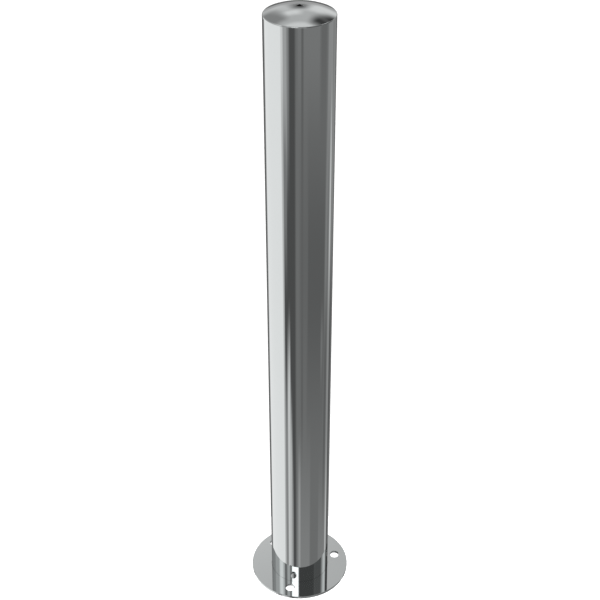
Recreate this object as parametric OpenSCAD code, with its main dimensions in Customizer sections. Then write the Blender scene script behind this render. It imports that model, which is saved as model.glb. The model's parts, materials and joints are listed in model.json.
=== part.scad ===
// Retractable bollard: a polished post that sinks into a casing in the ground.
// Millimetres. Origin at the centre of the flange's underside, which is paving level; +Z up.
// The post is drawn raised, with its two latch bolts drawn in.

/* [Post] */
// Outer diameter of the post
post_d = 88.9; // [76:0.1:92]
// Wall of the post
post_wall = 2.6; // [2:0.1:3.2]
// Height of the cap's sharp edge above the paving
cap_edge_z = 912; // [600:1:1100]
// Rise of the domed cap above its edge
cap_rise = 10; // [6:0.5:14]
// Length of post that stays in the casing when it is raised
post_overlap = 130; // [125:1:180]

/* [Ground flange] */
// Diameter of the flange
flange_d = 150; // [140:1:200]
// Thickness of the flange
flange_t = 4; // [3:0.5:8]
// Diameter of the circle that the anchor bolts stand on
bolt_circle_d = 115; // [114:1:130]
// Diameter of each anchor bolt hole
bolt_hole_d = 14; // [10:0.5:14]
// Direction of the first anchor bolt hole, from +X
bolt_angle = 15; // [0:1:119]

/* [Casing] */
// Outer diameter of the casing
casing_d = 98; // [97:0.5:99]
// Wall of the casing
casing_wall = 1.5; // [1:0.1:1.5]
// Diameter of the bolted foot of the casing
casing_foot_d = 136; // [134:1:148]
// Outer diameter of the drain spout
spout_d = 32; // [20:1:34]

/* [Latch] */
// How far each latch bolt is thrown
bolt_throw = 8; // [6:0.5:8]
// How far the key turns to throw the bolts
key_throw = 90; // [60:5:90]
// Direction of the latch bolts, from +X
latch_angle = 45; // [0:1:60]

/* [Gas struts] */
// Distance of each strut from the axis
strut_x = 28; // [27:0.5:29]
// Outer diameter of a strut's cylinder
strut_d = 22; // [20:0.5:22]
// Diameter of a strut's rod
rod_d = 10; // [8:0.5:10]

/* [Hidden] */
$fn = 96;
eps = 0.01;
far = 500;

// colours of the finishes
polished = "gainsboro";
galvanised = "darkgray";
zinc = "silver";
polymer = "dimgray";
rubber = "black";
brass = "goldenrod";

// post
post_r = post_d / 2;
post_in_r = post_r - post_wall;
cap_band = 1.5;
cap_wall = 2;
cap_skirt_depth = 16;
cap_skirt_wall = 2.5;
post_top = cap_edge_z - cap_band;
post_bottom = -post_overlap;
stroke = cap_edge_z - flange_t;
dome_r = (post_r * post_r + cap_rise * cap_rise) / (2 * cap_rise);
fit_gap = 0.1;
insert_r = post_in_r - fit_gap;
run_gap = 0.3;

// casing
casing_r = casing_d / 2;
casing_in_r = casing_r - casing_wall;
bump_h = 25;
bump_d = 20;
bump_clear = 1;
floor_top = post_bottom - stroke - bump_clear - bump_h;
foot_ring_t = 6;
gasket_t = 1.5;
floor_t = 6;
casing_bottom = floor_top + gasket_t;
floor_bolt_r = (casing_r + casing_foot_d / 2) / 2;
seal_h = 10;
bush_h = 46;
stop_h = 6;
bush_bottom = -seal_h - bush_h;
stop_bottom = bush_bottom - stop_h;

// foot of the post, from its bottom up
foot_plate_t = 13;
cam_pocket_h = 7;
cam_t = 6;
cam_gap = 0.5;
foot_block_t = 20;
channel_h = 12;
plate_top = post_bottom + foot_plate_t;
block_top = plate_top + foot_block_t;
cam_r = 19.5;
cam_top = plate_top - cam_gap;
bolt_w = 14;
bolt_h = channel_h - 0.4;
bolt_z = plate_top + 0.2;
bolt_tip = post_r - 0.65;
bolt_root = 4.6;
pin_r = 2.5;
pin_in = 8;
slot_gap = 0.1;
slot_step = 5;
ring_h = 30;
ring_r = casing_in_r - run_gap;

// struts, from the casing floor up
stud_r = 4;
locknut_h = 7;
strut_bottom = block_top + 5;
gland_h = 20;
piston_h = 18;
piston_gap = 4;
piston_bottom = strut_bottom + gland_h + piston_gap;
piston_top = piston_bottom + piston_h;
strut_in_r = strut_d / 2 - 1.5;
top_plug_h = 12;
strut_top = piston_top + stroke + 4 + top_plug_h;
bulkhead_t = 10;
bulkhead_top = strut_top + bulkhead_t;
nut_h = 6.5;
m8_flats = 13;

// lock, from the cap down
dome_top = cap_edge_z + cap_rise;
plug_r = 5.9;
plug_h = 15;
plug_bottom = dome_top - plug_h;
key_recess = 8;
key_side_h = 8;
lock_bush_r = 8;
lock_bush_bottom = plug_bottom - 4;
lock_rod_r = 4;
coupler_r = 8;
coupler_h = 16;
coupler_top = lock_bush_bottom - 1;
coupler_bottom = coupler_top - coupler_h;
rod_joint_z = (coupler_top + coupler_bottom) / 2;
tang = 6;
collar_h = 10;
spider_t = 12;
spider_levels = [250, 600];

// ---------- shared shapes ----------
module ring(outer, inner, low, high) {
    translate([0, 0, low]) difference() {
        cylinder(r = outer, h = high - low);
        translate([0, 0, -1]) cylinder(r = inner, h = high - low + 2);
    }
}

module rod(r, low, high) {
    translate([0, 0, low]) cylinder(r = r, h = high - low);
}

module hexagon(flats, low, high) {
    translate([0, 0, low]) cylinder(d = flats / cos(30), h = high - low, $fn = 6);
}

// turns the mechanism so that its own +Y is the way the first latch bolt is thrown
module mechanism() {
    rotate([0, 0, latch_angle - 90]) children();
}

module both_struts() {
    mechanism() for (side = [-1, 1]) translate([side * strut_x, 0, 0]) children();
}

module four_round(r, first = 45) {
    mechanism() for (k = [0:3]) rotate([0, 0, first + 90 * k]) translate([r, 0, 0]) children();
}

// a countersunk screw lying along +X with its head's face at x = 0
module side_screw(head_r, shank_r, length) {
    rotate([0, -90, 0]) union() {
        cylinder(r1 = head_r, r2 = shank_r, h = head_r - shank_r);
        cylinder(r = shank_r, h = length);
    }
}

module side_screw_hole(head_r, shank_r, length) {
    rotate([0, -90, 0]) union() {
        translate([0, 0, -1]) cylinder(r = head_r, h = 1);
        cylinder(r1 = head_r, r2 = shank_r, h = head_r - shank_r);
        cylinder(r = shank_r, h = length);
    }
}

// ---------- in the ground ----------
module base_flange() {
    color(polished) difference() {
        cylinder(d = flange_d, h = flange_t);
        translate([0, 0, -1]) cylinder(r = post_r + fit_gap, h = flange_t + 2);
        for (k = [0:2]) rotate([0, 0, bolt_angle + 120 * k])
            translate([bolt_circle_d / 2, 0, -1]) cylinder(d = bolt_hole_d, h = flange_t + 2);
    }
}

// openings for the two latch bolts, raised and lowered
module latch_windows(low, depth_r) {
    gap = 0.5;
    mechanism() translate([-bolt_w / 2 - gap, -depth_r, low - gap])
        cube([bolt_w + 2 * gap, 2 * depth_r, bolt_h + 2 * gap]);
}

module casing_tube() {
    color(galvanised) difference() {
        ring(casing_r, casing_in_r, casing_bottom, 0);
        latch_windows(bolt_z, casing_r + 1);
        latch_windows(bolt_z - stroke, casing_r + 1);
        bush_screw_places() side_screw_hole(4.2, 2.5, 6);
    }
}

module anchor_lugs() {
    lug_t = 6;
    lug_h = 60;
    lug_out = flange_d / 2 - 3;
    color(galvanised) difference() {
        for (level = [-320, -760]) for (k = [0:3]) rotate([0, 0, 45 * (level < -500 ? 1 : 0) + 90 * k])
            translate([casing_r - 5, -lug_t / 2, level]) cube([lug_out - casing_r + 5, lug_t, lug_h]);
        translate([0, 0, -far * 2]) cylinder(r = casing_r, h = far * 2);
    }
}

module upper_guide_bush() {
    groove_w = 4;
    groove_deep = 0.8;
    color(polymer) difference() {
        ring(casing_in_r, post_r + fit_gap, bush_bottom, -seal_h);
        for (z = [bush_bottom + 8, bush_bottom + 32])
            ring(post_r + fit_gap + groove_deep, post_r - 1, z, z + groove_w);
        bush_screw_places() side_screw_hole(4.2, 2.5, 6);
    }
}

module bush_screw_places() {
    translate([0, 0, bush_bottom + 22]) four_round(casing_r) children();
}

module bush_screws() {
    color(zinc) bush_screw_places() side_screw(4.2, 2.5, 3.4);
}

module wiper_seal() {
    lip_r = post_r + run_gap;
    lip_back = 1.6;
    color(rubber) rotate_extrude() polygon([
        [casing_in_r, -seal_h], [casing_in_r, 0], [lip_r + lip_back, 0], [lip_r, -1.2],
        [lip_r + lip_back, -4.5], [lip_r, -5.7], [lip_r + lip_back, -seal_h]
    ]);
}

module top_stop_ring() {
    color(rubber) ring(casing_in_r, post_r + 0.6, stop_bottom, bush_bottom);
}

module strike_boxes(low) {
    wall = 2;
    gap = 2;
    box_w = bolt_w + 2 * (gap + wall);
    box_h = bolt_h + 2 * (gap + wall);
    box_out = bolt_tip + bolt_throw + 2 + wall;
    color(galvanised) mechanism() for (turn = [0, 180]) rotate([0, 0, turn]) difference() {
        translate([-box_w / 2, 0, low - gap - wall]) cube([box_w, box_out, box_h]);
        translate([-box_w / 2 + wall, -1, low - gap])
            cube([box_w - 2 * wall, box_out - wall + 1, box_h - 2 * wall]);
        translate([0, 0, low - far / 2]) cylinder(r = casing_r, h = far);
    }
}

module upper_strike_boxes() { strike_boxes(bolt_z); }

module lower_strike_boxes() { strike_boxes(bolt_z - stroke); }

module casing_foot_ring() {
    color(galvanised) difference() {
        ring(casing_foot_d / 2, casing_r, casing_bottom, casing_bottom + foot_ring_t);
        translate([0, 0, casing_bottom - 1]) four_round(floor_bolt_r, 0) cylinder(r = 4.3, h = foot_ring_t + 2);
    }
}

module floor_gasket() {
    color(rubber) difference() {
        ring(casing_foot_d / 2, casing_in_r, floor_top, casing_bottom);
        translate([0, 0, floor_top - 1]) four_round(floor_bolt_r, 0) cylinder(r = 4.3, h = gasket_t + 2);
    }
}

module casing_floor() {
    color(galvanised) difference() {
        rod(casing_foot_d / 2, floor_top - floor_t, floor_top);
        translate([0, 0, floor_top - floor_t - 1]) {
            four_round(floor_bolt_r, 0) cylinder(r = 4.3, h = floor_t + 2);
            both_struts() cylinder(r = stud_r, h = floor_t + 2);
            cylinder(r = spout_d / 2 - 2, h = floor_t + 2);
        }
    }
}

module floor_bolts() {
    head_h = 5.5;
    color(zinc) four_round(floor_bolt_r, 0) {
        hexagon(m8_flats, casing_bottom + foot_ring_t, casing_bottom + foot_ring_t + head_h);
        rod(stud_r, floor_top - floor_t - 9, casing_bottom + foot_ring_t + eps);
    }
}

module floor_nuts() {
    color(zinc) four_round(floor_bolt_r, 0) difference() {
        hexagon(m8_flats, floor_top - floor_t - nut_h, floor_top - floor_t);
        rod(stud_r, floor_top - floor_t - nut_h - 1, floor_top);
    }
}

module drain_spout() {
    spout_h = 40;
    color(galvanised) ring(spout_d / 2, spout_d / 2 - 2, floor_top - floor_t - spout_h, floor_top - floor_t);
}

module drain_strainer() {
    strainer_r = spout_d / 2 + 1;
    hole_r = 2;
    color(polished) difference() {
        rod(strainer_r, floor_top, floor_top + 1.5);
        translate([0, 0, floor_top - 1]) {
            cylinder(r = hole_r, h = 4);
            for (k = [0:5]) rotate([0, 0, 60 * k]) translate([6, 0, 0]) cylinder(r = hole_r, h = 4);
            for (k = [0:9]) rotate([0, 0, 36 * k]) translate([11.5, 0, 0]) cylinder(r = hole_r, h = 4);
        }
    }
}

module bump_stops() {
    color(rubber) mechanism() for (side = [-1, 1]) translate([0, side * 32, floor_top]) {
        cylinder(d = bump_d, h = bump_h - 4);
        translate([0, 0, bump_h - 4 - eps]) cylinder(d1 = bump_d, d2 = bump_d - 6, h = 4 + eps);
    }
}

module strut_rods() {
    color(zinc) both_struts() {
        rod(stud_r, floor_top - floor_t, floor_top + locknut_h + eps);
        rod(rod_d / 2, floor_top + locknut_h, piston_bottom + eps);
        rod(stud_r, piston_bottom, piston_top);
    }
}

module strut_pistons() {
    color(brass) both_struts() difference() {
        ring(strut_in_r - 0.2, stud_r, piston_bottom, piston_top);
        ring(strut_in_r + 1, strut_in_r - 1.7, piston_bottom + 7, piston_bottom + 10);
    }
}

module rod_locknuts() {
    color(zinc) both_struts() difference() {
        hexagon(m8_flats, floor_top, floor_top + locknut_h);
        rod(stud_r, floor_top - 1, floor_top + locknut_h + 1);
    }
}

// ---------- the post ----------
module post_tube() {
    color(polished) difference() {
        ring(post_r, post_in_r, post_bottom, post_top);
        latch_windows(bolt_z, post_r + 1);
        foot_screw_places() side_screw_hole(4.2, 2.5, 14);
    }
}

// the ball that the domed top of the cap and of the lock's faces is cut from
module dome_ball(inset = 0) {
    translate([0, 0, dome_top - dome_r]) sphere(r = dome_r - inset);
}

module domed_cap() {
    inner_r = insert_r - cap_skirt_wall;
    color(polished) difference() {
        union() {
            intersection() {
                dome_ball();
                rod(post_r, cap_edge_z - eps, dome_top + 1);
            }
            rod(post_r, post_top, cap_edge_z);
            rod(insert_r, post_top - cap_skirt_depth, post_top + eps);
        }
        intersection() {
            dome_ball(cap_wall);
            rod(inner_r, post_top - cap_skirt_depth - 1, dome_top);
        }
        rod(lock_bush_r, post_top, dome_top + 1);
    }
}

module lock_bush() {
    flange_top = dome_top - cap_wall - 0.7;
    color(polished) difference() {
        union() {
            intersection() {
                dome_ball();
                rod(lock_bush_r, lock_bush_bottom, dome_top + 1);
            }
            rod(lock_bush_r + 3, flange_top - 3, flange_top);
        }
        rod(plug_r + fit_gap, plug_bottom, dome_top + 1);
        rod(lock_rod_r + fit_gap, lock_bush_bottom - 1, plug_bottom + 1);
    }
}

module strut_bulkhead() {
    color(galvanised) difference() {
        rod(insert_r, strut_top, bulkhead_top);
        rod(lock_rod_r + 0.5, strut_top - 1, bulkhead_top + 1);
        translate([0, 0, strut_top - 1]) both_struts() cylinder(r = stud_r + 0.2, h = bulkhead_t + 2);
    }
}

module strut_cylinders() {
    color(polymer) both_struts() ring(strut_d / 2, strut_in_r, strut_bottom, strut_top);
}

module strut_glands() {
    color(zinc) both_struts() ring(strut_in_r, rod_d / 2 + fit_gap, strut_bottom, strut_bottom + gland_h);
}

module strut_top_plugs() {
    color(zinc) both_struts() {
        rod(strut_in_r, strut_top - top_plug_h, strut_top);
        rod(stud_r, strut_top - eps, bulkhead_top + nut_h + 2);
    }
}

module strut_top_nuts() {
    color(zinc) both_struts() difference() {
        hexagon(m8_flats, bulkhead_top, bulkhead_top + nut_h);
        rod(stud_r, bulkhead_top - 1, bulkhead_top + nut_h + 1);
    }
}

module rod_spiders() {
    color(polymer) for (z = spider_levels) difference() {
        rod(insert_r - 0.5, z, z + spider_t);
        rod(lock_rod_r + 0.3, z - 1, z + spider_t + 1);
        translate([0, 0, z - 1]) {
            both_struts() cylinder(r = strut_d / 2 + fit_gap, h = spider_t + 2);
            mechanism() for (side = [-1, 1]) translate([0, side * 26, 0]) cylinder(r = 9, h = spider_t + 2);
        }
    }
}

module foot_block() {
    color(zinc) difference() {
        rod(insert_r, plate_top, block_top);
        rod(lock_rod_r + fit_gap, plate_top - 1, block_top + 1);
        mechanism() translate([-bolt_w / 2 - fit_gap, -post_r, plate_top - 1])
            cube([bolt_w + 2 * fit_gap, post_d, channel_h + 1]);
        translate([0, 0, plate_top - 1]) {
            both_struts() cylinder(r = rod_d / 2 + 0.6, h = foot_block_t + 2);
            four_round(33) cylinder(r = 2.5, h = 13);
        }
    }
}

module foot_plate() {
    color(zinc) difference() {
        rod(insert_r, post_bottom, plate_top);
        rod(cam_r + 0.7, plate_top - cam_pocket_h, plate_top + 1);
        translate([0, 0, post_bottom - 1]) {
            both_struts() cylinder(r = rod_d / 2 + 0.6, h = foot_plate_t + 2);
            four_round(33) cylinder(r = 2.5, h = foot_plate_t + 2);
            four_round(33) cylinder(r = 4.7, h = 6);
        }
        foot_screw_places() side_screw_hole(4.2, 2.5, 14);
    }
}

module foot_screws() {
    color(zinc) translate([0, 0, post_bottom]) four_round(33) difference() {
        union() {
            cylinder(r = 4.5, h = 5);
            cylinder(r = 2.5, h = foot_plate_t + 10);
        }
        translate([0, 0, -1]) cylinder(d = 4 / cos(30), h = 3.5, $fn = 6);
    }
}

module foot_screw_places() {
    translate([0, 0, post_bottom + 5]) four_round(post_r, 20) children();
}

module foot_side_screws() {
    color(zinc) foot_screw_places() side_screw(4.2, 2.5, 12);
}

module lower_guide_ring() {
    color(polymer) difference() {
        ring(ring_r, post_r, stop_bottom - ring_h, stop_bottom);
        for (k = [0:5]) rotate([0, 0, 60 * k + 30]) translate([ring_r, 0, stop_bottom - ring_h - 1])
            cylinder(r = 1.6, h = ring_h + 2);
    }
}

// ---------- the lock ----------
module key_plug() {
    color(polished) difference() {
        union() {
            intersection() {
                dome_ball();
                rod(plug_r, plug_bottom, dome_top + 1);
            }
            rod(lock_rod_r, rod_joint_z, plug_bottom + eps);
        }
        translate([0, 0, dome_top - key_recess]) rotate([0, 0, 90])
            cylinder(r = key_side_h * 2 / 3, h = key_recess + 1, $fn = 3);
    }
}

module rod_coupler() {
    color(zinc) difference() {
        ring(coupler_r, lock_rod_r, coupler_bottom, coupler_top);
        for (z = [coupler_bottom + 4, coupler_top - 4])
            translate([0, 0, z]) rotate([0, 90, 0]) cylinder(r = 1.5, h = coupler_r + 1);
    }
}

module lock_rod() {
    color(zinc) {
        rod(lock_rod_r, plate_top, rod_joint_z);
        mechanism() translate([-tang / 2, -tang / 2, cam_top - cam_t])
            cube([tang, tang, cam_t + cam_gap + eps]);
    }
}

module rod_collar() {
    color(zinc) difference() {
        ring(lock_rod_r + 5, lock_rod_r, block_top, block_top + collar_h);
        translate([0, 0, block_top + collar_h / 2]) rotate([0, 90, 0]) cylinder(r = 1.5, h = lock_rod_r + 6);
    }
}

// centre line of a cam slot: the follower pin moves out evenly as the key turns
function slot_r(turn) = pin_in + bolt_throw * turn / key_throw;
function slot_point(turn) = slot_r(turn) * [cos(90 - turn), sin(90 - turn)];
function slot_way(turn) = let (d = slot_point(turn + 0.5) - slot_point(turn - 0.5)) d / norm(d);
function slot_side(turn, half) = let (t = slot_way(turn)) slot_point(turn) + half * [-t[1], t[0]];

module cam_slot() {
    half = pin_r + slot_gap;
    turns = [0:slot_step:key_throw];
    polygon(concat(
        [for (a = turns) slot_side(a, half)],
        [for (a = turns) slot_side(key_throw - a, -half)]
    ));
    for (a = [0, key_throw]) translate(slot_point(a)) circle(r = half);
}

module cam_disc() {
    color(brass) mechanism() translate([0, 0, cam_top - cam_t]) linear_extrude(cam_t) difference() {
        circle(r = cam_r);
        square(tang, center = true);
        for (turn = [0, 180]) rotate([0, 0, turn]) cam_slot();
    }
}

module latch_bolt() {
    chamfer = 2;
    color(zinc) difference() {
        translate([0, 0, bolt_z]) rotate([90, 0, 90]) translate([0, 0, -bolt_w / 2])
            linear_extrude(bolt_w) polygon([
                [bolt_root, 0], [bolt_tip - chamfer, 0], [bolt_tip, chamfer],
                [bolt_tip, bolt_h - chamfer], [bolt_tip - chamfer, bolt_h], [bolt_root, bolt_h]
            ]);
        translate([0, pin_in, bolt_z - 1]) cylinder(r = pin_r, h = bolt_h);
    }
}

module latch_pin() {
    color(zinc) translate([0, pin_in, cam_top - cam_t]) cylinder(r = pin_r, h = bolt_z - cam_top + cam_t + bolt_h - 1);
}

module latch_bolt_a() { mechanism() latch_bolt(); }

module latch_pin_a() { mechanism() latch_pin(); }

module latch_bolt_b() { mechanism() rotate([0, 0, 180]) latch_bolt(); }

module latch_pin_b() { mechanism() rotate([0, 0, 180]) latch_pin(); }

base_flange();
casing_tube();
anchor_lugs();
upper_guide_bush();
bush_screws();
wiper_seal();
top_stop_ring();
upper_strike_boxes();
lower_strike_boxes();
casing_foot_ring();
floor_gasket();
casing_floor();
floor_bolts();
floor_nuts();
drain_spout();
drain_strainer();
bump_stops();
strut_rods();
strut_pistons();
rod_locknuts();
post_tube();
domed_cap();
lock_bush();
strut_bulkhead();
strut_cylinders();
strut_glands();
strut_top_plugs();
strut_top_nuts();
rod_spiders();
foot_block();
foot_plate();
foot_screws();
foot_side_screws();
lower_guide_ring();
key_plug();
rod_coupler();
lock_rod();
rod_collar();
cam_disc();
latch_bolt_a();
latch_pin_a();
latch_bolt_b();
latch_pin_b();
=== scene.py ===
"""Retractable bollard: finishes, small detail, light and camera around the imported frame.

The frame's origin is the centre of the flange's underside, level with the paving, with +Z up.
Sizes below are in metres unless a name says otherwise.
"""

from __future__ import annotations

import json
import logging
import math
from dataclasses import dataclass, field
from enum import Enum

import bmesh
import bpy
from mathutils import Matrix, Vector


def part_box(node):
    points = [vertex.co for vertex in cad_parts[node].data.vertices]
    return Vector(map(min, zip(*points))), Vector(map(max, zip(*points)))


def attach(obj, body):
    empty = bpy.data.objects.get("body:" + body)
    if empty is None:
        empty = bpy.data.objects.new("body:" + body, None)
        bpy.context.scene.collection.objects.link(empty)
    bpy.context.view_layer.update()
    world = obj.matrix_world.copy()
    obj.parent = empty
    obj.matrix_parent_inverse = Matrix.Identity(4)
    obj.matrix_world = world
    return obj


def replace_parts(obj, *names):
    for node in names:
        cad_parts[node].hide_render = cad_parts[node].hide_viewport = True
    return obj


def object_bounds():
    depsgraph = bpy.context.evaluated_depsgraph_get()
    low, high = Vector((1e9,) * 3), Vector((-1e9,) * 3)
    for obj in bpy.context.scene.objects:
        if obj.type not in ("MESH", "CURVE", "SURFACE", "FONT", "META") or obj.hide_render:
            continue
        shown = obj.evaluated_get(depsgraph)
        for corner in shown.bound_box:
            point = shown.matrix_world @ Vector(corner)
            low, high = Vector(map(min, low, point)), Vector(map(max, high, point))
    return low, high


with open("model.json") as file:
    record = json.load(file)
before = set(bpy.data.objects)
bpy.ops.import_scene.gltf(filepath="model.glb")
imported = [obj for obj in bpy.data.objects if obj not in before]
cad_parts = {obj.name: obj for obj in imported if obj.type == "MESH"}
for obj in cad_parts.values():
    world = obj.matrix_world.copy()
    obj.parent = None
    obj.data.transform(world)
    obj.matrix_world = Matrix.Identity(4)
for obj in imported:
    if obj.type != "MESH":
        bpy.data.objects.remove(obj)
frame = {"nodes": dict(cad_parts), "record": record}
CAD_BOX = [list(corner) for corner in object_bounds()]

LOG = logging.getLogger("bollard")
MM = 0.001
ROUND = 256
SMALL_ROUND = 48
HOLE_ROUND = 64
BEAD_ROUND = 12


class Body(Enum):
    """The rigid bodies that a piece can ride on."""

    CASING = "casing"
    POST = "post"
    KEY_TRAIN = "key_train"
    LATCH_A = "latch_a"
    LATCH_B = "latch_b"


class Slot(Enum):
    """The material slots of the record."""

    POLISHED = "polished_steel"
    GALVANISED = "galvanised_steel"
    ZINC = "zinc_steel"
    PAINT = "strut_paint"
    POLYMER = "guide_polymer"
    RUBBER = "seal_rubber"
    BRASS = "turned_brass"


# ---------- nodes and colours ----------


def linear(colour: str) -> tuple[float, float, float, float]:
    """Turns an sRGB hex colour into linear light.

    Args:
        colour: six hex digits.

    Returns:
        Red, green, blue and an alpha of 1.
    """
    parts = [int(colour[i : i + 2], 16) / 255 for i in (0, 2, 4)]
    light = [c / 12.92 if c <= 0.04045 else ((c + 0.055) / 1.055) ** 2.4 for c in parts]
    return (*light, 1.0)


def add_node(
    tree: bpy.types.NodeTree, kind: str, sockets: dict | None = None, **settings: object
) -> bpy.types.Node:
    """Adds one node with its settings, values and links.

    Args:
        tree: the node tree that the node joins.
        kind: the node's type name.
        sockets: values or output sockets for the inputs, by name or place.
        **settings: the node's own properties.

    Returns:
        The new node.
    """
    node = tree.nodes.new(kind)
    for name, value in settings.items():
        setattr(node, name, value)
    for name, value in (sockets or {}).items():
        if isinstance(value, bpy.types.NodeSocket):
            tree.links.new(value, node.inputs[name])
        else:
            node.inputs[name].default_value = value
    return node


# ---------- finishes ----------


@dataclass(frozen=True)
class Finish:
    """A surface, named for what it is made of and how it was worked."""

    name: str
    colour: str
    metallic: float
    roughness: float

    def build(self) -> bpy.types.Material:
        """Makes the material, or returns it if it has been made."""
        if self.name in bpy.data.materials:
            return bpy.data.materials[self.name]
        material = bpy.data.materials.new(self.name)
        material.use_nodes = True
        tree = material.node_tree
        tree.nodes.clear()
        shader = add_node(
            tree,
            "ShaderNodeBsdfPrincipled",
            {
                "Base Color": linear(self.colour),
                "Metallic": self.metallic,
                "Roughness": self.roughness,
            },
        )
        add_node(tree, "ShaderNodeOutputMaterial", {"Surface": shader.outputs[0]})
        self.work(tree, shader)
        return material

    def work(self, tree: bpy.types.NodeTree, shader: bpy.types.Node) -> None:
        """Adds what the making left on the surface."""

    @staticmethod
    def place(
        tree: bpy.types.NodeTree, per_metre: tuple[float, float, float]
    ) -> bpy.types.NodeSocket:
        """Gives object coordinates multiplied along each axis."""
        where = add_node(tree, "ShaderNodeTexCoord").outputs["Object"]
        scaled = add_node(tree, "ShaderNodeMapping", {"Vector": where, "Scale": per_metre})
        return scaled.outputs[0]

    @staticmethod
    def spread(
        tree: bpy.types.NodeTree, value: bpy.types.NodeSocket, low: float, high: float
    ) -> bpy.types.NodeSocket:
        """Maps a 0 to 1 pattern on to a range."""
        node = add_node(
            tree, "ShaderNodeMapRange", {"Value": value, "To Min": low, "To Max": high}
        )
        return node.outputs[0]

    @staticmethod
    def relief(
        tree: bpy.types.NodeTree,
        shader: bpy.types.Node,
        height: bpy.types.NodeSocket,
        depth: float,
    ) -> None:
        """Turns a 0 to 1 pattern into fine relief of a real depth."""
        bump = add_node(
            tree, "ShaderNodeBump", {"Height": height, "Distance": depth, "Strength": 1.0}
        )
        tree.links.new(bump.outputs[0], shader.inputs["Normal"])


@dataclass(frozen=True)
class MirrorPolished(Finish):
    """Stainless tube and plate buffed to a mirror: sharp reflections, with faint hazy patches."""

    haze_size: float = 90 * MM
    haze: float = 0.03

    def work(self, tree: bpy.types.NodeTree, shader: bpy.types.Node) -> None:
        """Lets the buffing vary a little from patch to patch."""
        rate = 1 / self.haze_size
        patches = add_node(
            tree,
            "ShaderNodeTexNoise",
            {"Vector": self.place(tree, (rate, rate, rate)), "Scale": 1.0, "Detail": 4.0},
        )
        rough = self.spread(
            tree, patches.outputs["Fac"], self.roughness, self.roughness + self.haze
        )
        tree.links.new(rough, shader.inputs["Roughness"])


@dataclass(frozen=True)
class HotDipGalvanised(Finish):
    """Steel dipped in molten zinc: dull flakes of crystal, each with its own grey."""

    flake: float = 9 * MM
    dark: str = "85898C"
    pale: str = "B4B8BA"

    def work(self, tree: bpy.types.NodeTree, shader: bpy.types.Node) -> None:
        """Draws the zinc crystals and the uneven skin over them."""
        rate = 1 / self.flake
        where = self.place(tree, (rate, rate, rate))
        stir = add_node(tree, "ShaderNodeTexNoise", {"Vector": where, "Scale": 0.9, "Detail": 3.0})
        bent = add_node(
            tree,
            "ShaderNodeVectorMath",
            {0: stir.outputs["Color"], 1: where},
            operation="ADD",
        )
        flakes = add_node(tree, "ShaderNodeTexVoronoi", {"Vector": bent.outputs[0], "Scale": 1.0})
        grey = add_node(tree, "ShaderNodeSeparateColor", {"Color": flakes.outputs["Color"]})
        cloud = add_node(tree, "ShaderNodeTexNoise", {"Vector": where, "Scale": 0.12, "Detail": 6.0})
        both = add_node(
            tree,
            "ShaderNodeMath",
            {0: grey.outputs[0], 1: cloud.outputs["Fac"]},
            operation="MULTIPLY",
        )
        tone = add_node(
            tree,
            "ShaderNodeMix",
            {"Factor": both.outputs[0], "A": linear(self.dark), "B": linear(self.pale)},
            data_type="RGBA",
        )
        tree.links.new(tone.outputs[2], shader.inputs["Base Color"])
        rough = self.spread(tree, grey.outputs[0], self.roughness - 0.1, self.roughness + 0.12)
        tree.links.new(rough, shader.inputs["Roughness"])
        self.relief(tree, shader, cloud.outputs["Fac"], 0.4 * MM)


@dataclass(frozen=True)
class ZincPlated(Finish):
    """Turned or rolled steel with bright zinc on it: satin, with a faint yellow and blue cast."""

    cool: str = "BFC6CF"
    warm: str = "CFC9B4"

    def work(self, tree: bpy.types.NodeTree, shader: bpy.types.Node) -> None:
        """Draws the colour cast and the lathe's rings."""
        cast = add_node(
            tree,
            "ShaderNodeTexNoise",
            {"Vector": self.place(tree, (60, 60, 60)), "Scale": 1.0, "Detail": 3.0},
        )
        tone = add_node(
            tree,
            "ShaderNodeMix",
            {"Factor": cast.outputs["Fac"], "A": linear(self.cool), "B": linear(self.warm)},
            data_type="RGBA",
        )
        tree.links.new(tone.outputs[2], shader.inputs["Base Color"])
        rings = add_node(
            tree,
            "ShaderNodeTexWave",
            {"Vector": self.place(tree, (0, 0, 1 / (1.2 * MM))), "Scale": 1.0, "Distortion": 0.6},
            bands_direction="Z",
        )
        self.relief(tree, shader, rings.outputs["Fac"], 0.01 * MM)


@dataclass(frozen=True)
class SprayedPaint(Finish):
    """Black paint sprayed on steel: even satin with a fine orange-peel skin."""

    def work(self, tree: bpy.types.NodeTree, shader: bpy.types.Node) -> None:
        """Draws the orange peel under a thin clear gloss."""
        shader.inputs["Coat Weight"].default_value = 0.3
        shader.inputs["Coat Roughness"].default_value = 0.2
        peel = add_node(
            tree,
            "ShaderNodeTexNoise",
            {"Vector": self.place(tree, (700, 700, 700)), "Scale": 1.0, "Detail": 2.0},
        )
        self.relief(tree, shader, peel.outputs["Fac"], 0.03 * MM)


@dataclass(frozen=True)
class Moulded(Finish):
    """Plastic or rubber from a mould: a matte grain, with paler dust in the hollows."""

    grain: float = 0.8 * MM
    depth: float = 0.05 * MM
    dust: str = "55585C"

    def work(self, tree: bpy.types.NodeTree, shader: bpy.types.Node) -> None:
        """Draws the grain and a little dust."""
        rate = 1 / self.grain
        grain = add_node(
            tree,
            "ShaderNodeTexNoise",
            {"Vector": self.place(tree, (rate, rate, rate)), "Scale": 1.0, "Detail": 3.0},
        )
        dust = add_node(
            tree,
            "ShaderNodeTexNoise",
            {"Vector": self.place(tree, (35, 35, 35)), "Scale": 1.0, "Detail": 5.0},
        )
        share = self.spread(tree, dust.outputs["Fac"], 0.0, 0.35)
        tone = add_node(
            tree,
            "ShaderNodeMix",
            {"Factor": share, "A": linear(self.colour), "B": linear(self.dust)},
            data_type="RGBA",
        )
        tree.links.new(tone.outputs[2], shader.inputs["Base Color"])
        self.relief(tree, shader, grain.outputs["Fac"], self.depth)


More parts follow.
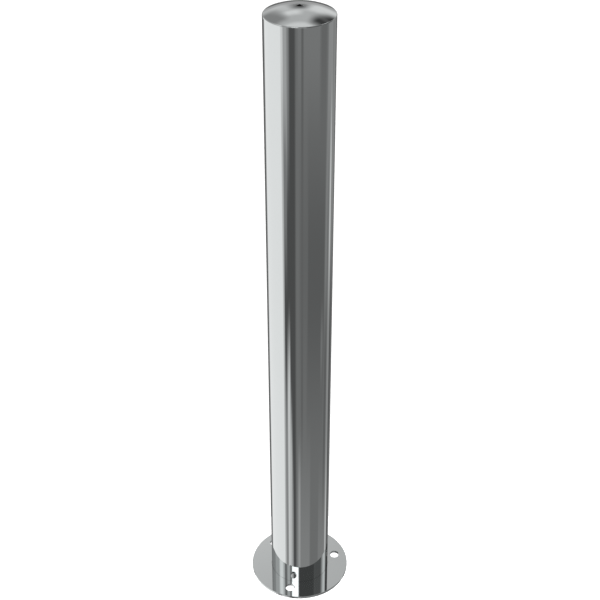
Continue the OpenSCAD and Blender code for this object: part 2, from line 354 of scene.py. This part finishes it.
@dataclass(frozen=True)
class TurnedBrass(Finish):
    """Brass off the lathe: fine rings, darker where hands and air have dulled it."""

    dull: str = "8A6A34"

    def work(self, tree: bpy.types.NodeTree, shader: bpy.types.Node) -> None:
        """Draws the rings and the tarnish."""
        tarnish = add_node(
            tree,
            "ShaderNodeTexNoise",
            {"Vector": self.place(tree, (150, 150, 150)), "Scale": 1.0, "Detail": 5.0},
        )
        tone = add_node(
            tree,
            "ShaderNodeMix",
            {"Factor": tarnish.outputs["Fac"], "A": linear(self.colour), "B": linear(self.dull)},
            data_type="RGBA",
        )
        tree.links.new(tone.outputs[2], shader.inputs["Base Color"])
        rings = add_node(
            tree,
            "ShaderNodeTexWave",
            {"Vector": self.place(tree, (1, 1, 0)), "Scale": 200.0, "Distortion": 0.2},
            wave_type="RINGS",
            rings_direction="Z",
        )
        self.relief(tree, shader, rings.outputs["Fac"], 0.01 * MM)


@dataclass(frozen=True)
class LitPaving(Finish):
    """Pale stone that stays white down in the flange's holes, as under a very wide light."""

    glow: float = 0.9

    def work(self, tree: bpy.types.NodeTree, shader: bpy.types.Node) -> None:
        """Adds the light that the holes would keep out."""
        shader.inputs["Emission Color"].default_value = linear(self.colour)
        shader.inputs["Emission Strength"].default_value = self.glow


MIRROR = MirrorPolished("mirror_polished_stainless", "D1D4D4", 1.0, 0.02)
GALVANISED = HotDipGalvanised("hot_dip_galvanised_steel", "A0A4A6", 0.85, 0.42)
ZINC = ZincPlated("zinc_plated_steel", "C4C8CC", 1.0, 0.3)
PAINT = SprayedPaint("sprayed_black_paint", "131416", 0.0, 0.38)
ACETAL = Moulded("moulded_acetal", "26282B", 0.0, 0.5)
EPDM = Moulded("moulded_epdm_rubber", "141414", 0.0, 0.8, 1.2 * MM, 0.08 * MM)
BRASS = TurnedBrass("turned_brass", "B88F48", 1.0, 0.26)

NODE_FINISH: dict[Slot, Finish] = {
    Slot.POLISHED: MIRROR,
    Slot.GALVANISED: GALVANISED,
    Slot.ZINC: ZINC,
    Slot.PAINT: PAINT,
    Slot.POLYMER: ACETAL,
    Slot.RUBBER: EPDM,
    Slot.BRASS: BRASS,
}


# ---------- mesh work ----------

# A fillet weld's outline, outwards from the tube and away from the corner, in legs.
FILLET = ((-0.2, -0.05), (1.0, -0.05), (0.72, 0.42), (0.42, 0.72), (-0.2, 1.0))
# Its ripples, also in legs: from one to the next, how deep, and how far out they start.
RIPPLE_PITCH = 0.8
RIPPLE_DEPTH = 0.12
RIPPLES_FROM = 0.3


def turn_out(bm: bmesh.types.BMesh) -> bmesh.types.BMesh:
    """Merges doubled corners and turns the faces outwards."""
    bmesh.ops.remove_doubles(bm, verts=bm.verts, dist=1e-7)
    bmesh.ops.recalc_face_normals(bm, faces=bm.faces)
    return bm


def ease_edges(
    bm: bmesh.types.BMesh,
    width: float,
    segments: int = 2,
    over_deg: float = 50,
    clear_of: float = 0.0,
) -> None:
    """Rounds every edge that turns by more than an angle.

    Args:
        bm: the mesh.
        width: how far the rounding reaches from the edge.
        segments: how many strips make it.
        over_deg: edges that turn by less than this stay as they are.
        clear_of: edges nearer to the Z axis than this stay sharp.
    """
    limit = math.radians(over_deg)
    edges = [
        e
        for e in bm.edges
        if e.is_manifold
        and e.calc_face_angle(0.0) > limit
        and all(math.hypot(v.co.x, v.co.y) >= clear_of for v in e.verts)
    ]
    bmesh.ops.bevel(
        bm,
        geom=edges,
        offset=width,
        offset_type="OFFSET",
        segments=segments,
        profile=0.5,
        affect="EDGES",
        clamp_overlap=True,
        material=-1,
    )


def drilled_plate(
    rim: float,
    holes: list[tuple[float, float, float, int]],
    low: float,
    high: float,
) -> bmesh.types.BMesh:
    """Makes a round flat plate with holes through it.

    Args:
        rim: the plate's radius.
        holes: centre x, centre y, radius and number of sides of each hole.
        low: height of the underside.
        high: height of the top.

    Returns:
        A closed mesh.
    """
    bm = bmesh.new()
    for x, y, radius, sides in [(0.0, 0.0, rim, ROUND), *holes]:
        bmesh.ops.create_circle(
            bm, radius=radius, segments=sides, matrix=Matrix.Translation((x, y, low))
        )
    bmesh.ops.triangle_fill(bm, use_beauty=True, edges=bm.edges)
    made = bmesh.ops.extrude_face_region(bm, geom=bm.faces)
    lifted = [part for part in made["geom"] if isinstance(part, bmesh.types.BMVert)]
    bmesh.ops.translate(bm, verts=lifted, vec=(0, 0, high - low))
    return turn_out(bm)


def radii(node: str) -> tuple[float, float]:
    """Gives the smallest and largest distance of a CAD node's corners from the Z axis."""
    far = [math.hypot(v.co.x, v.co.y) for v in frame["nodes"][node].data.vertices]
    return min(far), max(far)


def merge(parts: list[bmesh.types.BMesh]) -> bmesh.types.BMesh:
    """Puts several meshes into one and frees them."""
    whole = bmesh.new()
    for part in parts:
        mesh = bpy.data.meshes.new("part")
        part.to_mesh(mesh)
        part.free()
        whole.from_mesh(mesh)
        bpy.data.meshes.remove(mesh)
    return whole


def round_the_axis(
    bm: bmesh.types.BMesh, angles_deg: list[float], radius: float
) -> bmesh.types.BMesh:
    """Copies a mesh to places round the Z axis.

    Args:
        bm: the mesh, drawn at the axis with its outward side towards +X; it is freed.
        angles_deg: the direction of each copy.
        radius: how far out each copy stands.

    Returns:
        All the copies in one mesh.
    """
    out = Matrix.Translation((radius, 0, 0))
    copies = []
    for angle in angles_deg:
        copy = bm.copy()
        bmesh.ops.transform(
            copy, verts=copy.verts, matrix=Matrix.Rotation(math.radians(angle), 4, "Z") @ out
        )
        copies.append(copy)
    bm.free()
    return merge(copies)


def ring_weld(radius: float, height: float, leg: float, up: bool) -> bmesh.types.BMesh:
    """Lays a fillet weld round the outside of a tube, with the ripples of its making.

    Args:
        radius: the tube's radius.
        height: the level of the corner that the weld fills.
        leg: how far the weld reaches along each face.
        up: True if it lies above that level.

    Returns:
        A closed ring.
    """
    way = 1 if up else -1
    bm = lathe([(radius + out * leg, height + way * along * leg) for out, along in FILLET])
    ripples = max(8, round(math.tau * radius / (RIPPLE_PITCH * leg)))
    for vert in bm.verts:
        turn = math.atan2(vert.co.y, vert.co.x)
        swell = RIPPLE_DEPTH * leg * abs(math.sin(turn * ripples / 2))
        reach = math.hypot(vert.co.x, vert.co.y)
        if reach - radius > RIPPLES_FROM * leg:
            vert.co.x *= 1 - swell / reach
            vert.co.y *= 1 - swell / reach
    return bm


def straight_weld(length: float, leg: float) -> bmesh.types.BMesh:
    """Lays a rippled bead along +Z from the origin, half sunk in the corner that it fills.

    Args:
        length: the bead's length.
        leg: its radius.

    Returns:
        A closed bead.
    """
    tip = 0.55 * leg
    rings = max(6, round(length / tip))
    wave = [(leg * (0.86 + 0.14 * (k % 2)), length * (k + 0.5) / rings) for k in range(rings)]
    return lathe([(0.0, 0.0), (tip, 0.0), *wave, (tip, length), (0.0, length)], BEAD_ROUND)


def lathe(profile: list[tuple[float, float]], steps: int = ROUND) -> bmesh.types.BMesh:
    """Spins a closed outline of radius and height round the Z axis.

    Args:
        profile: the outline's corners, in order; it closes on itself.
        steps: how many steps make the full turn.

    Returns:
        A closed mesh with its faces turned outwards.
    """
    bm = bmesh.new()
    verts = [bm.verts.new((r, 0, z)) for r, z in profile]
    pairs = zip(verts, verts[1:] + verts[:1])
    edges = [bm.edges.new((a, b)) for a, b in pairs if a.co.x > 0 or b.co.x > 0]
    bmesh.ops.spin(
        bm,
        geom=verts + edges,
        cent=(0, 0, 0),
        axis=(0, 0, 1),
        angle=math.tau,
        steps=steps,
        use_merge=True,
    )
    return turn_out(bm)


def finish_piece(
    bm: bmesh.types.BMesh,
    name: str,
    body: Body,
    finish: Finish,
    sharp_deg: float = 12.0,
) -> bpy.types.Object:
    """Turns a mesh into a dressed piece that rides on a body.

    Args:
        bm: the mesh, in place; it is freed.
        name: the piece's name.
        body: the body it rides on.
        finish: its surface.
        sharp_deg: the angle between faces above which an edge stays sharp.

    Returns:
        The piece.
    """
    limit = math.radians(sharp_deg)
    for face in bm.faces:
        face.smooth = True
    for edge in bm.edges:
        edge.smooth = edge.is_manifold and edge.calc_face_angle(0.0) < limit
    mesh = bpy.data.meshes.new(name)
    bm.to_mesh(mesh)
    bm.free()
    mesh.materials.append(finish.build())
    piece = bpy.data.objects.new(name, mesh)
    bpy.context.collection.objects.link(piece)
    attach(piece, body.value)
    LOG.info("%s: %d faces on %s", name, len(mesh.polygons), body.value)
    return piece


SLOT_OF = {part["node"]: Slot(part["material_slot"]) for part in frame["record"]["subparts"]}
BODY_OF = {
    node: Body(body)
    for body, nodes in frame["record"]["behaviour"]["bodies"].items()
    for node in nodes
}


def dress_frame() -> None:
    """Gives every CAD node the finish of its slot."""
    for name, node in frame["nodes"].items():
        material = NODE_FINISH[SLOT_OF[name]].build()
        for place in range(max(1, len(node.data.materials))):
            if place < len(node.data.materials):
                node.data.materials[place] = material
            else:
                node.data.materials.append(material)


# ---------- the bollard's pieces ----------


@dataclass
class GroundFlange:
    """The polished plate on the paving, with its three anchor bolt holes."""

    edge: float = 0.35 * MM
    first_hole_deg: float = 15.0
    bore_margin: float = 1 * MM

    def build(self) -> bpy.types.Object:
        """Cuts the plate to the CAD's sizes, with its edges eased."""
        bolts = next(m for m in frame["record"]["mounts"] if m["name"] == "flange_bolts")["dims"]
        circle = bolts["pcd_mm"] / 2 * MM
        bore, rim = radii("base_flange")
        holes = [(0.0, 0.0, bore, ROUND)]
        for step in range(bolts["count"]):
            turn = math.radians(self.first_hole_deg + 360 / bolts["count"] * step)
            holes.append(
                (
                    circle * math.cos(turn),
                    circle * math.sin(turn),
                    bolts["hole_r_mm"] * MM,
                    HOLE_ROUND,
                )
            )
        low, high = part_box("base_flange")
        bm = drilled_plate(rim, holes, low.z, high.z)
        ease_edges(bm, self.edge, clear_of=bore + self.bore_margin)
        piece = finish_piece(bm, "ground_flange", Body.CASING, MIRROR)
        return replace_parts(piece, "base_flange")


@dataclass
class DomedCap:
    """The low dome welded and polished flush into the top of the post."""

    rise: float = 10 * MM
    band: float = 1.5 * MM
    wall: float = 2 * MM
    skirt: float = 16 * MM
    skirt_wall: float = 2.5 * MM
    socket_gap: float = 0.1 * MM
    tube_wall: float = 2.6 * MM
    neck: float = 8 * MM
    edge: float = 1.2 * MM
    edge_steps: int = 6
    arc_steps: int = 40

    def arc(self, ball: float, inner: float, outer: float, centre: float) -> list[tuple[float, float]]:
        """Gives points on a ball's upper side between two radii."""
        stops = [inner + (outer - inner) * k / self.arc_steps for k in range(self.arc_steps + 1)]
        return [(r, centre + math.sqrt(ball**2 - r**2)) for r in stops]

    def build(self) -> bpy.types.Object:
        """Spins the cap and rounds its outer edge."""
        outer = radii("post_tube")[1]
        tube_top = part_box("post_tube")[1].z
        edge_z = tube_top + self.band
        ball = (outer**2 + self.rise**2) / (2 * self.rise)
        centre = edge_z + self.rise - ball
        skirt_out = outer - self.tube_wall - self.socket_gap
        skirt_in = skirt_out - self.skirt_wall
        foot = tube_top - self.skirt
        top = self.arc(ball, self.neck, outer, centre)
        under = self.arc(ball - self.wall, self.neck, skirt_in, centre)
        outline = top + [(outer, tube_top), (skirt_out, tube_top), (skirt_out, foot), (skirt_in, foot)]
        bm = lathe(outline + under[::-1])
        rim = [
            e
            for e in bm.edges
            if all(abs(v.co.z - edge_z) < 1e-6 for v in e.verts)
            and all(math.hypot(v.co.x, v.co.y) > outer - 1e-5 for v in e.verts)
        ]
        bmesh.ops.bevel(
            bm,
            geom=rim,
            offset=self.edge,
            segments=self.edge_steps,
            profile=0.5,
            affect="EDGES",
            material=-1,
        )
        piece = finish_piece(bm, "polished_cap", Body.POST, MIRROR)
        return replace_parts(piece, "domed_cap")


@dataclass
class CasingWelds:
    """The fillet welds that hold the casing's parts together, galvanised over."""

    flange_leg: float = 1.4 * MM
    foot_leg: float = 1.8 * MM
    lug_leg: float = 1.6 * MM
    first_lugs: tuple[float, ...] = (0, 90, 180, 270)
    last_lugs: tuple[float, ...] = (45, 135, 225, 315)
    lug_height: float = 60 * MM
    lug_half: float = 3 * MM

    def build(self) -> bpy.types.Object:
        """Lays the welds round the casing and along each lug."""
        outer = radii("casing_tube")[1]
        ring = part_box("casing_foot_ring")
        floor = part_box("casing_floor")
        spout = radii("drain_spout")[1]
        parts = [
            ring_weld(outer, 0.0, self.flange_leg, up=False),
            ring_weld(outer, ring[1].z, self.foot_leg, up=True),
            ring_weld(spout, floor[0].z, self.foot_leg, up=False),
        ]
        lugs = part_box("anchor_lugs")
        for bottom, angles in (
            (lugs[1].z - self.lug_height, self.first_lugs),
            (lugs[0].z, self.last_lugs),
        ):
            for side in (-1, 1):
                bead = straight_weld(self.lug_height, self.lug_leg)
                bmesh.ops.translate(
                    bead, verts=bead.verts, vec=(0, side * self.lug_half, bottom)
                )
                parts.append(round_the_axis(bead, list(angles), outer))
        return finish_piece(
            merge(parts), "casing_welds", Body.CASING, GALVANISED, sharp_deg=50
        )


@dataclass
class HexFasteners:
    """The bolts and nuts that hold the casing's floor."""

    flats: float = 13 * MM
    head: float = 5.5 * MM
    nut: float = 6.5 * MM
    shank: float = 4 * MM
    tail: float = 9 * MM
    tip_bevel: float = 0.8 * MM
    sunk: float = 1 * MM
    corner_cut: float = 1.4 * MM
    corner_slope: float = 1.7
    directions: tuple[float, ...] = (-45, 45, 135, 225)

    def hexagon(self, low: float, high: float) -> bmesh.types.BMesh:
        """Makes a hexagon with its corners turned down at both ends, as a lathe leaves them."""
        corner = self.flats / 2 / math.cos(math.radians(30))
        bm = bmesh.new()
        bmesh.ops.create_cone(
            bm,
            cap_ends=True,
            cap_tris=False,
            segments=6,
            radius1=corner,
            radius2=corner,
            depth=high - low,
            matrix=Matrix.Translation((0, 0, (low + high) / 2)),
        )
        for turn in range(6):
            way = Matrix.Rotation(math.radians(60 * turn), 3, "Z") @ Vector((1, 0, 0))
            for level, up in ((high, 1), (low, -1)):
                drop = Vector((way.x, way.y, up * self.corner_slope)).normalized()
                at = Vector((way.x, way.y, 0)) * (corner - self.corner_cut) + Vector((0, 0, level))
                cut = bmesh.ops.bisect_plane(
                    bm,
                    geom=bm.verts[:] + bm.edges[:] + bm.faces[:],
                    plane_co=at,
                    plane_no=drop,
                    clear_outer=True,
                )
                rim = [e for e in cut["geom_cut"] if isinstance(e, bmesh.types.BMEdge)]
                bmesh.ops.holes_fill(bm, edges=rim, sides=0)
        return turn_out(bm)

    def build(self) -> bpy.types.Object:
        """Stands the four bolts round the foot of the casing."""
        ring_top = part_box("casing_foot_ring")[1].z
        floor_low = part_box("casing_floor")[0].z
        middle = (radii("casing_tube")[1] + radii("casing_foot_ring")[1]) / 2
        tip = floor_low - self.tail
        end = ring_top + self.sunk
        shank = lathe(
            [
                (0.0, tip),
                (self.shank - self.tip_bevel, tip),
                (self.shank, tip + self.tip_bevel),
                (self.shank, end),
                (0.0, end),
            ],
            SMALL_ROUND,
        )
        parts = [shank, self.hexagon(ring_top, ring_top + self.head)]
        parts.append(self.hexagon(floor_low - self.nut, floor_low))
        bm = round_the_axis(merge(parts), list(self.directions), middle)
        piece = finish_piece(bm, "floor_fasteners", Body.CASING, ZINC, sharp_deg=20)
        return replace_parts(piece, "floor_bolts", "floor_nuts")


@dataclass
class EasedParts:
    """The parts whose sawn, cast or turned edges are broken by hand before they are fitted.

    Each width is how far the rounding reaches from the part's own edges.
    """

    seam_deg: float = 0.4
    over_deg: float = 35.0
    widths: dict[float, str] = field(
        default_factory=lambda: {
            0.15 * MM: "lock_bush key_plug rod_locknuts",
            0.3 * MM: "floor_gasket strut_glands strut_top_nuts cam_disc rod_collar drain_spout",
            0.4 * MM: "foot_plate strut_bulkhead rod_spiders lower_guide_ring rod_coupler",
            0.5 * MM: "casing_foot_ring casing_floor foot_block latch_bolt_a latch_bolt_b",
            0.8 * MM: "anchor_lugs bump_stops upper_strike_boxes lower_strike_boxes",
        }
    )

    def ease(self, node: str, width: float) -> bpy.types.Object:
        """Rounds the edges of one part.

        Args:
            node: the CAD part.
            width: how far the rounding reaches from each edge.

        Returns:
            The piece that stands for it.
        """
        bm = bmesh.new()
        bm.from_mesh(frame["nodes"][node].data)
        bmesh.ops.remove_doubles(bm, verts=bm.verts, dist=1e-6)
        bmesh.ops.dissolve_limit(
            bm,
            angle_limit=math.radians(self.seam_deg),
            verts=bm.verts,
            edges=bm.edges,
        )
        ease_edges(bm, width, over_deg=self.over_deg)
        slot = SLOT_OF[node]
        piece = finish_piece(
            bm, f"eased_{node}", BODY_OF[node], NODE_FINISH[slot], sharp_deg=20
        )
        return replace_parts(piece, node)

    def build(self) -> None:
        """Eases every part in the list."""
        for width, nodes in self.widths.items():
            for node in nodes.split():
                self.ease(node, width)


# ---------- studio ----------


@dataclass(frozen=True)
class Board:
    """A soft-edged board that the polished post mirrors. Angles are in degrees from the post.

    Azimuth 0 is the camera's side, and positive is to the camera's right.
    """

    azimuth: float
    half_width: float
    low: float
    high: float
    light: float
    edge: float = 6.0


# Below the horizon: what the upright wall of the post mirrors.
LOW_BOARDS = (
    Board(30, 36, -24, 8, 0.26, 6),
    Board(61, 35, -38.5, -27.5, 0.145, 10),
    Board(14, 14, -37, -28, 0.185, 8),
    Board(8.5, 3.5, -41, 8, 0.17, 5),
    Board(86, 5, -37.5, -35, 0.24, 3),
    Board(103, 5, -34.5, -26, 0.28, 6),
    Board(15, 26, -90, -43, 0.31, 8),
    Board(82, 11, -26, 5, 0.19, 8),
    Board(97, 18, -90, -43.5, 0.28, 5),
    Board(107, 7, -43, -35, 0.16, 6),
    Board(-36, 22, -90, 8, 0.10, 9),
    Board(-39, 5, -27, 8, 0.32, 8),
    Board(-49, 8, -28, 8, 0.50, 5),
    Board(-49, 6, -32, -26, 0.27, 5),
    Board(-49, 5, -90, -38.5, 0.35, 5),
    Board(-143, 4, -90, 8, 0.45, 6),
    Board(-58, 4, -90, 8, 0.66, 4),
    Board(-58, 4, -24, 8, 0.86, 4),
    Board(-100, 39, -90, 8, 1.08, 5),
    Board(-39, 5.5, -90, -36.8, 0.82, 5),
    Board(-31.5, 4, -90, -40.5, 0.68, 5),
    Board(-26.5, 2.5, -90, -42.5, 0.40, 4),
    Board(-1, 4, -90, -42, 0.45, 4),
    Board(115, 14, -27, 8, 0.36, 9),
    Board(123, 7, -90, -25.5, 0.35, 7),
    Board(124, 5, -33, -25.5, 0.74, 6),
    Board(125, 6, -90, -42.5, 0.64, 5),
    Board(142, 11, -31, 8, 0.31, 8),
    Board(140, 7, -90, -33, 0.11, 6),
    Board(163, 11, -90, 8, 0.42, 12),
    Board(-152, 6, -90, 8, 0.03, 6),
    Board(-165, 7, -90, 8, 0.14, 6),
)

# Above the horizon: what the foot of the post mirrors by way of the flange. The last one, lower
# down, is for the rounded rim of the cap.
HIGH_BOARDS = (
    Board(-130, 30, 38, 56, 0.42, 12),
    Board(-104, 14, 38, 56, 0.68, 12),
    Board(-80, 11, 38, 56, 1.36, 12),
    Board(-61, 5, 38, 56, 0.20, 6),
    Board(-45, 6, 38, 56, 0.76, 5),
    Board(-37, 2.5, 38, 56, 0.35, 3),
    Board(-17.8, 12.2, 43, 50, 2.8, 2),
    Board(30, 32.5, 38, 56, 0.10, 2),
    Board(80, 19, 38, 56, 0.15, 8),
    Board(121, 13, 38, 56, 0.98, 12),
    Board(145, 10, 38, 56, 0.36, 10),
    Board(72, 50, 8, 38, 0.12, 10),
)

# Behind the post, high up: what the flange and the domed cap mirror.
BACK_BOARDS = (
    Board(180, 30, -90, 2, 0.17, 6),
    Board(180, 34, 2, 80, 0.60, 6),
    Board(180, 16, 3, 10, 0.48, 6),
    Board(178, 40, 62, 90, 0.86, 8),
    Board(166, 9, 13, 34, 0.88, 12),
    Board(187, 8, 34, 45, 0.90, 10),
    Board(190, 4, 12, 32, 0.70, 6),
    Board(207, 11, 20, 53, 0.31, 13),
    Board(146, 17, 41, 59, 0.06, 16),
    Board(146, 13, 26, 45, 0.06, 16),
    Board(180, 4, 14, 30, 0.14, 9),
    Board(180, 5, 4, 14, 0.42, 8),
)


@dataclass
class Studio:
    """The pale floor, the soft light, the boards around the post and the camera."""

    camera_back: float = 1.3579
    camera_height: float = 1.4239
    camera_side: float = 0.00047
    camera_tilt: float = 55.9557
    lens: float = 72.202
    floor_reach: float = 14.0
    paving_radius: float = 0.115
    paving_depth: float = 0.002
    low_grey: float = 0.22
    high_grey: float = 0.45
    soft_light: float = 1.4
    boards: tuple[Board, ...] = field(default_factory=lambda: LOW_BOARDS + HIGH_BOARDS + BACK_BOARDS)

    def build(self) -> None:
        """Sets up everything that isn't the bollard."""
        bpy.context.scene.view_settings.view_transform = "Standard"
        self.add_camera()
        self.add_world()
        self.add_floor()
        self.add_paving()

    def add_camera(self) -> None:
        """Stands the camera in front of the post, above its cap, looking down."""
        data = bpy.data.cameras.new("camera")
        data.lens = self.lens
        camera = bpy.data.objects.new("camera", data)
        camera.location = (self.camera_side, -self.camera_back, self.camera_height)
        camera.rotation_euler = (math.radians(self.camera_tilt), 0, 0)
        bpy.context.collection.objects.link(camera)
        bpy.context.scene.camera = camera

    def add_floor(self) -> None:
        """Lays a pale floor under the lowest point; polished steel doesn't mirror it."""
        bm = bmesh.new()
        bmesh.ops.create_grid(bm, x_segments=1, y_segments=1, size=self.floor_reach)
        bmesh.ops.translate(bm, verts=bm.verts, vec=(0, 0, CAD_BOX[0][2]))
        mesh = bpy.data.meshes.new("floor")
        bm.to_mesh(mesh)
        bm.free()
        mesh.materials.append(Finish("pale_floor", "F6F6F6", 0.0, 0.9).build())
        floor = bpy.data.objects.new("floor", mesh)
        bpy.context.collection.objects.link(floor)
        floor.visible_glossy = False

    def add_paving(self) -> None:
        """Lays the thin ring of paving that the flange lies on, around the casing."""
        well = (0.0, 0.0, radii("casing_tube")[1], ROUND)
        bm = drilled_plate(self.paving_radius, [well], -self.paving_depth, 0.0)
        mesh = bpy.data.meshes.new("paving")
        bm.to_mesh(mesh)
        bm.free()
        mesh.materials.append(LitPaving("pale_paving", "F6F6F6", 0.0, 0.9).build())
        paving = bpy.data.objects.new("paving", mesh)
        bpy.context.collection.objects.link(paving)
        paving.visible_glossy = False

    def add_world(self) -> None:
        """Surrounds the post with boards for mirrors, soft light for the rest, and white behind."""
        world = bpy.data.worlds.new("studio")
        bpy.context.scene.world = world
        world.use_nodes = True
        tree = world.node_tree
        tree.nodes.clear()
        way = add_node(tree, "ShaderNodeTexCoord").outputs["Generated"]
        axis = add_node(tree, "ShaderNodeSeparateXYZ", {0: way})
        front = add_node(
            tree, "ShaderNodeMath", {0: axis.outputs[1], 1: -1.0}, operation="MULTIPLY"
        )
        azimuth = add_node(
            tree, "ShaderNodeMath", {0: axis.outputs[0], 1: front.outputs[0]}, operation="ARCTAN2"
        ).outputs[0]
        elevation = add_node(
            tree, "ShaderNodeMath", {0: axis.outputs[2]}, operation="ARCSINE"
        ).outputs[0]
        light = add_node(
            tree,
            "ShaderNodeMapRange",
            {
                "Value": elevation,
                "From Min": math.radians(-6),
                "From Max": math.radians(12),
                "To Min": self.low_grey,
                "To Max": self.high_grey,
            },
            interpolation_type="SMOOTHSTEP",
        ).outputs[0]
        for board in self.boards:
            light = self.add_board(tree, board, azimuth, elevation, light)
        ray = add_node(tree, "ShaderNodeLightPath")
        soft = add_node(
            tree,
            "ShaderNodeMix",
            {"Factor": ray.outputs["Is Diffuse Ray"], "A": light, "B": self.soft_light},
        )
        seen = add_node(
            tree,
            "ShaderNodeMix",
            {"Factor": ray.outputs["Is Camera Ray"], "A": soft.outputs[0], "B": 1.0},
        )
        glow = add_node(
            tree,
            "ShaderNodeBackground",
            {"Color": (1, 1, 1, 1), "Strength": seen.outputs[0]},
        )
        add_node(tree, "ShaderNodeOutputWorld", {"Surface": glow.outputs[0]})

    @staticmethod
    def add_board(
        tree: bpy.types.NodeTree,
        board: Board,
        azimuth: bpy.types.NodeSocket,
        elevation: bpy.types.NodeSocket,
        behind: bpy.types.NodeSocket,
    ) -> bpy.types.NodeSocket:
        """Hangs one board in front of what is already there.

        Args:
            tree: the world's nodes.
            board: the board.
            azimuth: the direction's azimuth, in radians.
            elevation: the direction's elevation, in radians.
            behind: the light from behind the board.

        Returns:
            The light with the board in place.
        """
        middle = (board.low + board.high) / 2
        shares = []
        for angle, centre, half in (
            (azimuth, board.azimuth, board.half_width),
            (elevation, middle, (board.high - board.low) / 2),
        ):
            off = add_node(
                tree, "ShaderNodeMath", {0: angle, 1: math.radians(centre)}, operation="SUBTRACT"
            )
            turn = add_node(
                tree,
                "ShaderNodeMath",
                {0: off.outputs[0], 1: math.pi, 2: -math.pi},
                operation="WRAP",
            )
            away = add_node(tree, "ShaderNodeMath", {0: turn.outputs[0]}, operation="ABSOLUTE")
            share = add_node(
                tree,
                "ShaderNodeMapRange",
                {
                    "Value": away.outputs[0],
                    "From Min": math.radians(half - board.edge / 2),
                    "From Max": math.radians(half + board.edge / 2),
                    "To Min": 1.0,
                    "To Max": 0.0,
                },
                interpolation_type="SMOOTHSTEP",
            )
            shares.append(share.outputs[0])
        cover = add_node(
            tree, "ShaderNodeMath", {0: shares[0], 1: shares[1]}, operation="MULTIPLY"
        )
        mixed = add_node(
            tree,
            "ShaderNodeMix",
            {"Factor": cover.outputs[0], "A": behind, "B": board.light},
        )
        return mixed.outputs[0]


def main() -> None:
    """Builds the bollard's looks around the frame."""
    logging.basicConfig(level=logging.INFO, format="%(name)s: %(message)s")
    Studio().build()
    dress_frame()
    for part in (GroundFlange(), DomedCap(), CasingWelds(), HexFasteners(), EasedParts()):
        part.build()


if __name__ == "__main__":
    main()
